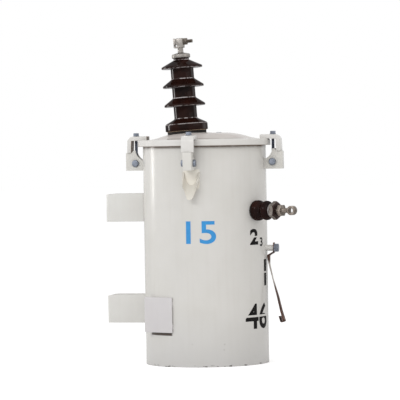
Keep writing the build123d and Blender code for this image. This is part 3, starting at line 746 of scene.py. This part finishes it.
# %% Painted highlights on the porcelain
graph, bsdf, glaze, where = opened(porcelain)
lean_map = put(graph, "ShaderNodeMapping", {"Vector": where}, vector_type="TEXTURE")
lean_map.inputs["Location"].default_value = hv_place.translation
lean_map.inputs["Rotation"].default_value = hv_place.to_euler()
along = apart(graph, lean_map.outputs[0])["Z"]
glint_lines = [(flange_top - 1, 1.3, 0.8), (shoulder_top + 1, 1.5, 1.0)]
for foot in shed_feet:
    glint_lines += [(foot - shed_droop + 1.2, 1.2, 0.6), (foot + shed_height + 0.5, 1.6, 1.0)]
pale = 0.0
for spot, half, strength in glint_lines:
    gap = sums(graph, "ABSOLUTE", sums(graph, "SUBTRACT", along, spot * MM))
    pale = sums(graph, "MAXIMUM", pale, stretch(graph, gap, 0.4 * half * MM, half * MM, strength, 0.0))
breaks = noise(graph, where, 85.0, 2.0)
pale = times(graph, pale, stretch(graph, breaks, 0.42, 0.56, 0.06, 0.75))
# Painted highlights: the pale lines are glints painted into the base colour.
graph.links.new(blend(graph, pale, glaze, tone("CDC6C6")), bsdf.inputs["Base Color"])
print(len(glint_lines), "pale lines")

# %% [markdown]
# A cast cap with a stem closes the top of the porcelain. It is round, so it is spun as well.

# %% High voltage cap
cap_radius, cap_height, cap_cone = 26.0, 11.0, 4.0
stem_radius, stem_height, stem_fillet = 8.0, 14.0, 1.5
stem_foot = neck_top + cap_height + cap_cone
stem_top = stem_foot + stem_height
cap_outline = [
    (0, neck_top, 0),
    (cap_radius, neck_top, 2.2),
    (cap_radius, neck_top + cap_height, 3),
    (stem_radius + stem_fillet, stem_foot, 2.5),
    (stem_radius, stem_foot + 1, 0.8),
    (stem_radius, stem_top, 0),
    (0, stem_top, 0),
]
hv_cap = turned(cap_outline, place=hv_place, steps=80)
finished(hv_cap, "hv_cap_cast", cap_metal, "tinned_terminal", "hv_cap")

# %% [markdown]
# ## Pieces from the CAD solids
# Folded and sawn pieces keep the CAD shape, and only their razor edges are wrong. Each is a copy of the
# node's mesh: doubles merged, flat facets dissolved, and the edges between faces that turn sharply
# bevelled, as a file or a coat of paint would leave them.


# %% Helper that softens a CAD node
def softened(node, edge, segments=2):
    """A copy of a CAD node's mesh with its sharp edges rounded; the edge is in millimetres."""
    flat, sharp_turn = math.radians(0.5), math.radians(32)
    bm = bmesh.new()
    bm.from_mesh(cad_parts[node].data)
    bmesh.ops.remove_doubles(bm, verts=bm.verts, dist=2 * TOUCH * MM)
    bmesh.ops.dissolve_limit(bm, angle_limit=flat, verts=bm.verts, edges=bm.edges)
    sharp = [e for e in bm.edges if len(e.link_faces) == 2 and e.calc_face_angle() > sharp_turn]
    bmesh.ops.bevel(
        bm, geom=sharp, offset=edge * MM, offset_type="OFFSET", affect="EDGES",
        segments=segments, profile=0.5, material=-1, clamp_overlap=False,
    )
    bmesh.ops.remove_doubles(bm, verts=bm.verts, dist=2 * TOUCH * MM)
    return bm


# %% [markdown]
# The wire clamp on the cap's stem is a cast block and a keeper that is drawn against it. Both are plain
# blocks with a groove, so softened CAD pieces are enough.

# %% High voltage wire clamp
for node, name in {"hv_terminal": "hv_clamp_block", "hv_keeper": "hv_clamp_keeper"}.items():
    finished(softened(node, 0.8), name, tinned_terminal, "tinned_terminal", node)

# %% [markdown]
# ## Bolts
# A bolt head is a hexagon whose corners are turned off at thirty degrees, which leaves a curved line on
# each flat. The hexagon's sides are subdivided, and the points beyond the turned circle move
# down that slope. Threads are rings spun from a zigzag, fine enough at this size.


# %% Helpers for bolts
def hex_head(flats, height, place, low):
    """A hexagon head with turned off corners on its outer face, standing on height low."""
    turned_circle, turned_slope = flats * 0.48 * MM, math.tan(math.radians(30))
    top_level = (low + height) * MM
    bm = bmesh.new()
    bmesh.ops.create_circle(bm, cap_ends=False, segments=6, radius=flats / math.sqrt(3) * MM)
    bmesh.ops.subdivide_edges(bm, edges=bm.edges[:], cuts=7)
    bmesh.ops.translate(bm, vec=(0, 0, low * MM), verts=bm.verts)
    foot = bm.edges[:]
    bmesh.ops.contextual_create(bm, geom=foot)
    side = bmesh.ops.extrude_edge_only(bm, edges=foot)["geom"]
    raised = [g for g in side if isinstance(g, bmesh.types.BMVert)]
    for v in raised:
        beyond = max(math.hypot(v.co.x, v.co.y) - turned_circle, 0)
        v.co.z = top_level - beyond * turned_slope
    rim = [g for g in side if isinstance(g, bmesh.types.BMEdge) and all(v in raised for v in g.verts)]
    crown = bmesh.ops.extrude_edge_only(bm, edges=rim)["geom"]
    for v in (g for g in crown if isinstance(g, bmesh.types.BMVert)):
        scale = turned_circle / math.hypot(v.co.x, v.co.y)
        v.co = (v.co.x * scale, v.co.y * scale, top_level)
    top = [e for e in bm.edges if all(abs(v.co.z - top_level) < 1e-7 for v in e.verts)]
    bmesh.ops.contextual_create(bm, geom=top)
    bmesh.ops.recalc_face_normals(bm, faces=bm.faces)
    bmesh.ops.transform(bm, matrix=place, verts=bm.verts)
    return bm


def threaded(radius, low, high, place, pitch):
    """A rod between two heights with rings for a thread, and flat ends."""
    root = radius - pitch * 0.5
    outline = [(0, low, 0), (root, low, 0)]
    level = low
    while level + pitch <= high:
        outline += [(radius, level + pitch * 0.45, 0), (root, level + pitch * 0.95, 0)]
        level += pitch
    outline += [(root, high, 0), (0, high, 0)]
    return turned(outline, steps=28, place=place)


# %% Bolt of the wire clamp
wire_bolt_rise, wire_bolt_radius, wire_bolt_pitch = 17.0, 5.2, 1.75
wire_bolt_start, wire_bolt_end = -16.5, 36.5
wire_nut_flats, wire_nut_height, wire_nut_seat = 18.0, 11.0, 10.5
z_to_x = Matrix.Rotation(math.pi / 2, 4, "Y")
along_bolt = hv_place @ Matrix.Translation((0, 0, (stem_top + wire_bolt_rise) * MM)) @ z_to_x
nut = hex_head(wire_nut_flats, wire_nut_height, along_bolt, low=wire_nut_seat)
rod = threaded(wire_bolt_radius, wire_bolt_start, wire_bolt_end, along_bolt, wire_bolt_pitch)
finished(joined(nut, rod), "hv_clamp_bolt", bronzed_bolt_and_eye_shade, "zinc_steel", "hv_terminal_bolt", crease=30)

# %% [markdown]
# ## Cover clamps
# Four clamps hold the cover. Each is a pressed arm over the rim, a welded bracket below it, a cross pin in
# the bracket and a draw bolt from the arm down into the pin. The pressings are softened CAD
# pieces, with the knee of the arm drawn rounder and its inner faces in a darker brown: a stain from the
# run-off and painted shade in the arm's hollow. The pin and the bolt are turned once and set in each quarter.


# %% Helpers for the clamps
arm_top, arm_outer, arm_bend, arm_knee = 642.0, 221.0, 13.0, 21.0


def about_tank(angle):
    """A turn about the tank's axis, in degrees."""
    return Matrix.Rotation(math.radians(angle), 4, "Z")


def second_finish(obj, material, direction, least=0.55):
    """Give the faces that look in a direction another material."""
    obj.data.materials.append(material)
    for polygon in obj.data.polygons:
        if polygon.normal.dot(direction) > least:
            polygon.material_index = 1


def rounder_knee(bm, turn):
    """Draw the outer corner of a clamp arm in from its bend to a larger radius."""
    centre = Vector((arm_outer - arm_knee, arm_top - arm_knee))
    inset = arm_knee - arm_bend
    back = turn.inverted()
    for v in bm.verts:
        spot = back @ v.co / MM
        off = Vector((spot.x, spot.z)) - centre
        if off.x <= 0.01 or off.y <= 0.01:
            continue
        ray = off.normalized()
        along = inset * (ray.x + ray.y)
        edge = along + math.sqrt(along**2 - 2 * inset**2 + arm_bend**2)
        if min(ray) * edge < inset:
            edge = arm_knee / max(ray)
        off *= arm_knee / edge
        v.co = turn @ Vector((centre.x + off.x, spot.y, centre.y + off.y)) * MM


print("clamp arms reach up to", arm_top, "mm")

# %% Clamps in the four quarters
pin_height, bolt_reach = 565.0, 197.5
washer_radius, washer_top = 9.0, arm_top + 1.5
head_flats, head_height = 14.0, 7.5
rod_radius, rod_pitch, rod_tail = 4.5, 1.5, 13.0
pin_radius, pin_neck = 10.0, 7.5
pin_half, pin_end, pin_rivet = 12.25, 19.25, 3.0
quarters = {"right": 0, "back": 90, "left": 180, "front": 270}
pin_outline = [
    (0, -pin_end, 0),
    (pin_radius, -pin_end, 3),
    (pin_radius, -pin_half, 0.8),
    (pin_neck, -pin_half, 0),
    (pin_neck, pin_half, 0),
    (pin_radius, pin_half, 0.8),
    (pin_radius, pin_end + pin_rivet, 3),
    (0, pin_end + pin_rivet, 0),
]
washer_outline = [
    (0, arm_top, 0),
    (washer_radius, arm_top, 0.5),
    (washer_radius, washer_top, 0.5),
    (0, washer_top, 0),
]
for quarter, angle in quarters.items():
    arm, bracket, pin, bolt = (f"clamp_{piece}_{quarter}" for piece in ("arm", "bracket", "pin", "bolt"))
    turn = about_tank(angle)
    bolt_place = turn @ Matrix.Translation((bolt_reach * MM, 0, 0))
    pin_place = bolt_place @ Matrix.Translation((0, 0, pin_height * MM)) @ Matrix.Rotation(math.pi / 2, 4, "X")
    pressing = softened(arm, 1.1, 3)
    rounder_knee(pressing, turn)
    pressing = finished(pressing, f"{arm}_pressed", cover_paint, "cover_paint", arm)
    # The inner faces get a darker brown copy of the paint: a stain and painted shade.
    second_finish(pressing, stained_shaded_paint, turn @ Vector((-1, 0, 0)), least=0.7)
    finished(softened(bracket, 0.9), f"{bracket}_folded", bracket_paint, "cover_paint", bracket)
    turned_pin = turned(pin_outline, steps=40, place=pin_place)
    finished(turned_pin, f"{pin}_turned", zinc_steel, "zinc_steel", pin)
    head = hex_head(head_flats, head_height, bolt_place, low=washer_top)
    washer = turned(washer_outline, steps=40, place=bolt_place, segments=2)
    rod = threaded(rod_radius, pin_height - rod_tail, arm_top, bolt_place, rod_pitch)
    finished(joined(head, washer, rod), f"{bolt}_threaded", zinc_steel, "zinc_steel", bolt, crease=30)

# %% [markdown]
# ## Lugs, hangers and the rating plate bracket
# These are cut and folded from plate, welded on and painted, each in a slightly different grey. The CAD
# solids have their full shape, and softened edges catch the light as painted plate does.

# %% Welded fittings
fittings = {
    "lifting_lug_front": (lightened_lug_paint, 0.8),
    "lifting_lug_back": (lightened_lug_paint, 0.8),
    "lower_hanger": (hanger_paint, 1.2),
    "upper_hanger": (hanger_paint, 1.2),
    "nameplate_bracket": (plate_paint, 0.7),
}
for node, (coat, edge) in fittings.items():
    finished(softened(node, edge, 3), f"{node}_plate", coat, "tank_paint", node)

# %% [markdown]
# ## Low voltage bushings
# A low voltage bushing stands on the side of the tank: gasket, porcelain, washer, a large nut and an eye
# terminal. Porcelain and washer are spun about one level axis, the nut is made as a bolt head is, and the
# gasket and the eye are softened CAD pieces. One loop makes both bushings.

# %% Outlines of the low voltage bushings
lv_height, lv_face, lv_nose, lv_nut_foot = 430.0, 176.5, 227.5, 235.5
lv_base, lv_waist, lv_shed, lv_tip = 28.5, 19.0, 27.0, 17.0
lv_washer_radius, lv_washer_groove, lv_washer_joint = 19.5, 18.0, lv_nose + 4
lv_porcelain_outline = [
    (0, lv_face, 0),
    (lv_base, lv_face, 1.5),
    (lv_base, lv_face + 15.5, 5),
    (lv_waist, lv_face + 23.5, 5),
    (lv_shed, lv_face + 31.5, 4.5),
    (lv_shed, lv_face + 43, 4.5),
    (lv_tip + 0.5, lv_face + 49.5, 2.5),
    (lv_tip, lv_nose, 0),
    (0, lv_nose, 0),
]
lv_washer_outline = [
    (0, lv_nose, 0),
    (lv_washer_radius, lv_nose, 0.8),
    (lv_washer_radius, lv_washer_joint - 0.4, 0.8),
    (lv_washer_groove, lv_washer_joint, 0.2),
    (lv_washer_radius, lv_washer_joint + 0.4, 0.8),
    (lv_washer_radius, lv_nut_foot, 0.8),
    (0, lv_nut_foot, 0),
]
print("low voltage porcelain is", lv_nose - lv_face, "mm long")

# %% Low voltage bushings
lv_angles = {"front": -24.2, "back": 65.8}
lv_nut_flats, lv_nut_height, lv_nut_turn = 45.0, 13.0, 30
for side, angle in lv_angles.items():
    lv_place = Matrix.Translation((0, 0, lv_height * MM)) @ about_tank(angle) @ z_to_x
    body = turned(lv_porcelain_outline, steps=80, place=lv_place)
    finished(body, f"lv_porcelain_{side}", porcelain, "porcelain", f"lv_bushing_{side}", crease=60)
    washer = turned(lv_washer_outline, steps=64, place=lv_place, segments=3)
    finished(washer, f"lv_washer_{side}_turned", grey_washer, "grey_washer", f"lv_washer_{side}")
    outward = lv_place.to_3x3() @ Vector((0, 0, 1))
    nut_place = lv_place @ Matrix.Rotation(math.radians(lv_nut_turn), 4, "Z")
    nut = hex_head(lv_nut_flats, lv_nut_height, nut_place, low=lv_nut_foot)
    nut = finished(nut, f"lv_nut_{side}_hex", nut_side, "dark_nut", f"lv_nut_{side}", crease=25)
    # Painted shade: the nut's outward faces get a dark brown copy of its metal.
    second_finish(nut, dark_nut, outward)
    gasket = softened(f"lv_gasket_{side}", 0.8)
    finished(gasket, f"lv_gasket_{side}_rubber", gasket_rubber, "gasket_rubber", f"lv_gasket_{side}")
    eye = softened(f"lv_terminal_{side}", 0.9)
    eye = finished(eye, f"lv_eye_{side}", brown_tin, "tinned_terminal", f"lv_terminal_{side}")
    # Painted shade: the eye's outward faces get the darker bronze finish.
    second_finish(eye, bronzed_bolt_and_eye_shade, outward)

# %% [markdown]
# ## Earth terminal
# A round boss is welded to the tank for the earth. A hex bolt clamps a strip of copper to it, bent by hand
# and hanging down beside the tank, gone brown.

# %% Earth boss and bolt
earth_height = 323.0
earth_root, earth_neck, earth_face = 172.0, 175.5, 194.5
earth_weld, earth_radius = 11.5, 8.5
earth_bolt_tip, earth_bolt_seat, earth_bolt_radius = 181.0, 196.5, 5.0
earth_head_flats, earth_head_height = 22.0, 12.0
earth_place = Matrix.Translation((0, 0, earth_height * MM)) @ z_to_x
earth_outline = [
    (0, earth_root, 0),
    (earth_weld, earth_root, 0),
    (earth_radius, earth_neck, 1.5),
    (earth_radius, earth_face, 1),
    (0, earth_face, 0),
]
earth_boss = turned(earth_outline, steps=48, place=earth_place)
finished(earth_boss, "earth_boss_welded", tank_paint, "tank_paint", "earth_boss")
head = hex_head(earth_head_flats, earth_head_height, earth_place, low=earth_bolt_seat)
rod = threaded(earth_bolt_radius, earth_bolt_tip, earth_bolt_seat, earth_place, rod_pitch)
finished(joined(head, rod), "earth_bolt_hex", zinc_steel, "zinc_steel", "earth_bolt", crease=30)

# %% [markdown]
# The strap has been bent by hand, so it is twisted too. Each point moves sideways in step with its distance
# from the strap's middle line, by a share that changes with height: each pair is a height in metres and
# the share there.

# %% Twisted strap
twist_shares = [
    (0.10, 0.16), (0.16, 0.12), (0.2, 0.03), (0.225, -0.12), (0.27, -0.12),
    (0.288, 0.12), (0.308, 0.3), (0.314, 0.0), (0.35, 0.0),
]
strap = softened("earth_strap", 0.5)
for v in strap.verts:
    for (low, low_share), (high, high_share) in zip(twist_shares, twist_shares[1:]):
        if low <= v.co.z < high:
            risen = (v.co.z - low) / (high - low)
            v.co.x += v.co.y * (low_share + (high_share - low_share) * risen)
            break
finished(strap, "earth_strap_bent", strap_copper, "strap_copper", "earth_strap")

# %% [markdown]
# Half way down, a pale patch is painted on the strap's bend: a painted reflection. Noise drawn long upright
# breaks it into streaks.

# %% Painted reflection on the strap
graph, bsdf, copper, where = opened(strap_copper)
reflection_streaks = noise(graph, scaled(graph, where, (300, 300, 24)), 1.0, 4.0)
strap_reflection = band(graph, apart(graph, where)["Z"], (0.21, 0.235), (0.275, 0.29))
strap_reflection = times(graph, strap_reflection, stretch(graph, reflection_streaks, 0.38, 0.56, 0.45, 1.0))
# Painted reflection: a pale grey patch in the copper's base colour.
graph.links.new(blend(graph, strap_reflection, copper, tone("B9B3AC")), bsdf.inputs["Base Color"])
print(strap_copper.name, "has", len(graph.nodes), "nodes")

# %% [markdown]
# ## Weld beads
# Hangers, brackets and lugs meet the tank along weld beads under the paint. A bead is a rope of frozen
# ripples, so each is a curve with a round section whose radius rises and falls from point to point.

# %% Helpers for weld beads
ripple = random.Random(7)


def as_bmesh(curve, touch):
    """A curve or text as a bmesh, with points closer than touch merged."""
    carrier = bpy.data.objects.new(curve.name, curve)
    mesh = bpy.data.meshes.new_from_object(carrier)
    bpy.data.objects.remove(carrier)
    bm = bmesh.new()
    bm.from_mesh(mesh)
    bpy.data.meshes.remove(mesh)
    bmesh.ops.remove_doubles(bm, verts=bm.verts, dist=touch)
    return bm


def bead(route, radius):
    """A rippled weld along a route of points in millimetres."""
    curve = bpy.data.curves.new("bead", "CURVE")
    curve.dimensions = "3D"
    curve.bevel_depth = radius * MM
    curve.bevel_resolution = 2
    curve.use_fill_caps = True
    line = curve.splines.new("POLY")
    line.points.add(len(route) - 1)
    for i, (point, spot) in enumerate(zip(line.points, route)):
        point.co = (*(c * MM for c in spot), 1)
        point.radius = 0.85 + 0.2 * (i % 2) + ripple.uniform(-0.1, 0.1)
    return as_bmesh(curve, TOUCH * MM)


def straight(start, end, step=2.2):
    """Evenly spaced points from start to end."""
    start, end = Vector(start), Vector(end)
    count = max(int((end - start).length / step), 2)
    return [start.lerp(end, i / count) for i in range(count + 1)]


# %% Beads on hangers and brackets
beads = []
hanger_half, hanger_tall, hanger_middles = 38.0, 79.0, (155.0, 441.0)
bracket_half, bracket_low, bracket_high = 12.25, 546.0, 571.0
hanger_bead, bracket_bead = 2.4, 1.6
root_x = math.sqrt(tank_radius**2 - hanger_half**2)
for middle in hanger_middles:
    low, high = middle - hanger_tall / 2 + 1, middle + hanger_tall / 2 - 1
    for side in (-1, 1):
        spot = (-root_x - 0.6, side * (hanger_half + 0.6))
        beads.append(bead(straight((*spot, low), (*spot, high)), hanger_bead))

root_x = math.sqrt(tank_radius**2 - bracket_half**2)
for angle in quarters.values():
    turn = about_tank(angle)
    for side in (-1, 1):
        spot = (root_x + 0.4, side * (bracket_half + 0.4))
        low, high = turn @ Vector((*spot, bracket_low)), turn @ Vector((*spot, bracket_high))
        beads.append(bead(straight(low, high), bracket_bead))
print(len(beads), "straight beads")

# %% [markdown]
# A lug is a leaning half pipe, so its bead runs where that pipe meets the tank. For each place across the
# pipe, the depth of the pipe's back and the tank's own curve give the height at which the two meet.

# %% Beads round the lugs
lug_bore, lug_outer, lug_lean = 18.7, 25.2, math.radians(33.7)
lug_crotch, lug_top, lug_bead = 505.0, 545.0, 1.7
lug_sweep, lug_steps = math.radians(82), 60
for quarter in ("front", "back"):
    turn = about_tank(quarters[quarter])
    route = []
    for i in range(-lug_steps, lug_steps + 1):
        across = lug_outer * math.sin(i / lug_steps * lug_sweep)
        depth = lug_bore - math.sqrt(lug_outer**2 - across**2)
        out = math.sqrt(tank_radius**2 - across**2)
        climb = (tank_radius + depth * math.cos(lug_lean) - out) / math.sin(lug_lean)
        level = lug_crotch + depth * math.sin(lug_lean) + climb * math.cos(lug_lean)
        if level < lug_top:
            route.append(turn @ Vector((out + 0.5, across, level)))
    beads.append(bead(route, lug_bead))
finished(joined(*beads), "weld_beads", tank_paint, "tank_paint", crease=70)

# %% [markdown]
# ## Painted numbers
# The tank carries plain stencilled numbers. A text object is made a mesh, cut into narrow upright strips so
# that it can bend, wrapped round the tank and given the thickness of a coat of paint. Narrow bridges
# are left across the larger black figures, as a stencil leaves them.


# %% Helpers for numbers
def sliced(bm, spot, direction):
    """Cut a whole bmesh through by a plane."""
    everything = bm.verts[:] + bm.edges[:] + bm.faces[:]
    bmesh.ops.bisect_plane(bm, geom=everything, plane_co=spot, plane_no=direction)


def number(text, name, angle, level, tall, material, bridge=0.0, wide=1.0, bold=0.0):
    """Wrap a plain number round the tank: angle in degrees, level and tall in millimetres."""
    figure_share, strip, film, lift = 0.7, 3.0, 0.2, 0.25
    words = bpy.data.curves.new(name, "FONT")
    words.body = text
    words.size = tall / figure_share
    words.align_x = "CENTER"
    words.offset = bold
    bm = as_bmesh(words, TOUCH)
    bmesh.ops.scale(bm, vec=(wide, 1, 1), verts=bm.verts)
    reach = int(max(abs(v.co.x) for v in bm.verts) / strip)
    for i in range(-reach, reach + 1):
        sliced(bm, (i * strip, 0, 0), (1, 0, 0))
    if bridge:
        for edge in (-bridge / 2, bridge / 2):
            sliced(bm, (0, tall / 2 + edge, 0), (0, 1, 0))
        gap = [f for f in bm.faces if abs(f.calc_center_median().y - tall / 2) < bridge / 2]
        bmesh.ops.delete(bm, geom=gap, context="FACES")
    outside = tank_radius + lift
    for v in bm.verts:
        turn = math.radians(angle) + v.co.x / tank_radius
        v.co = Vector((math.cos(turn) * outside, math.sin(turn) * outside, level + v.co.y - tall / 2)) * MM
    bmesh.ops.recalc_face_normals(bm, faces=bm.faces)
    for f in bm.faces:
        if f.normal.xy.dot(f.calc_center_median().xy) < 0:
            f.normal_flip()
    bmesh.ops.solidify(bm, geom=bm.faces[:], thickness=film * MM)
    finished(bm, name, material, "tank_paint")


# %% Numbers on the tank
number("15", "blue_number", -84.5, 374, 62, blue_mark, wide=1.25, bold=1.0)
number("2", "terminal_number_two", -26.5, 357, 41, black_mark, bridge=4, wide=1.25, bold=2.0)
number("3", "terminal_number_small", -14.5, 342, 23, black_mark, wide=1.2, bold=0.8)
number("1", "terminal_number_one", -6, 256, 71, black_mark, bridge=5, wide=1.3, bold=2.2)
number("46", "stencil_number", -21.5, 136, 67, black_mark, bridge=6, wide=1.12, bold=2.0)
